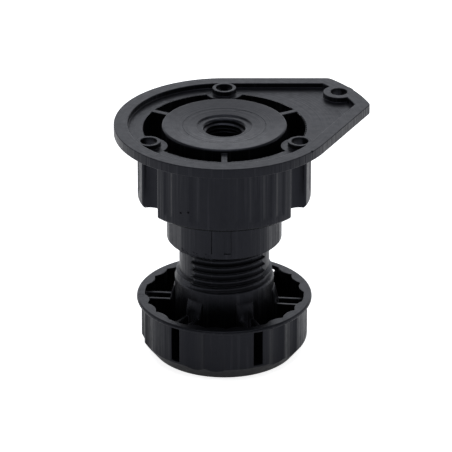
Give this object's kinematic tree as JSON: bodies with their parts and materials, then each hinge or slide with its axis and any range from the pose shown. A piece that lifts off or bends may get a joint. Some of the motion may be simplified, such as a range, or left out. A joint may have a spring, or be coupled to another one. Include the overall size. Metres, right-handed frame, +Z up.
{
  "type": "adjustable cabinet leg",
  "caption": "Short black plastic cabinet leg: a teardrop screw plate with a fluted socket, a threaded sleeve and a wide ribbed foot that screws in and out for height.",
  "frame": {"origin": "on the leg's axis, on the floor under the foot", "axes": "+Z up along the leg's axis, out of the screw plate; +Y along the screw plate's straight edge's normal, so that edge lies along +X"},
  "size_m": [0.063, 0.0542, 0.0611],
  "materials": {
    "socket_plastic": "black moulded plastic, satin",
    "sleeve_plastic": "black moulded plastic, satin",
    "foot_plastic": "black moulded plastic, satin"
  },
  "bodies": {
    "socket": {"mounting_socket": "socket_plastic", "threaded_sleeve": "sleeve_plastic"},
    "foot": {"screw_foot": "foot_plastic"}
  },
  "joints": [
    {"name": "foot_height", "type": "slide", "parent": "socket", "child": "foot", "axis": [0, 0, -1], "range_m": [-0.01, 0.008]}
  ]
}
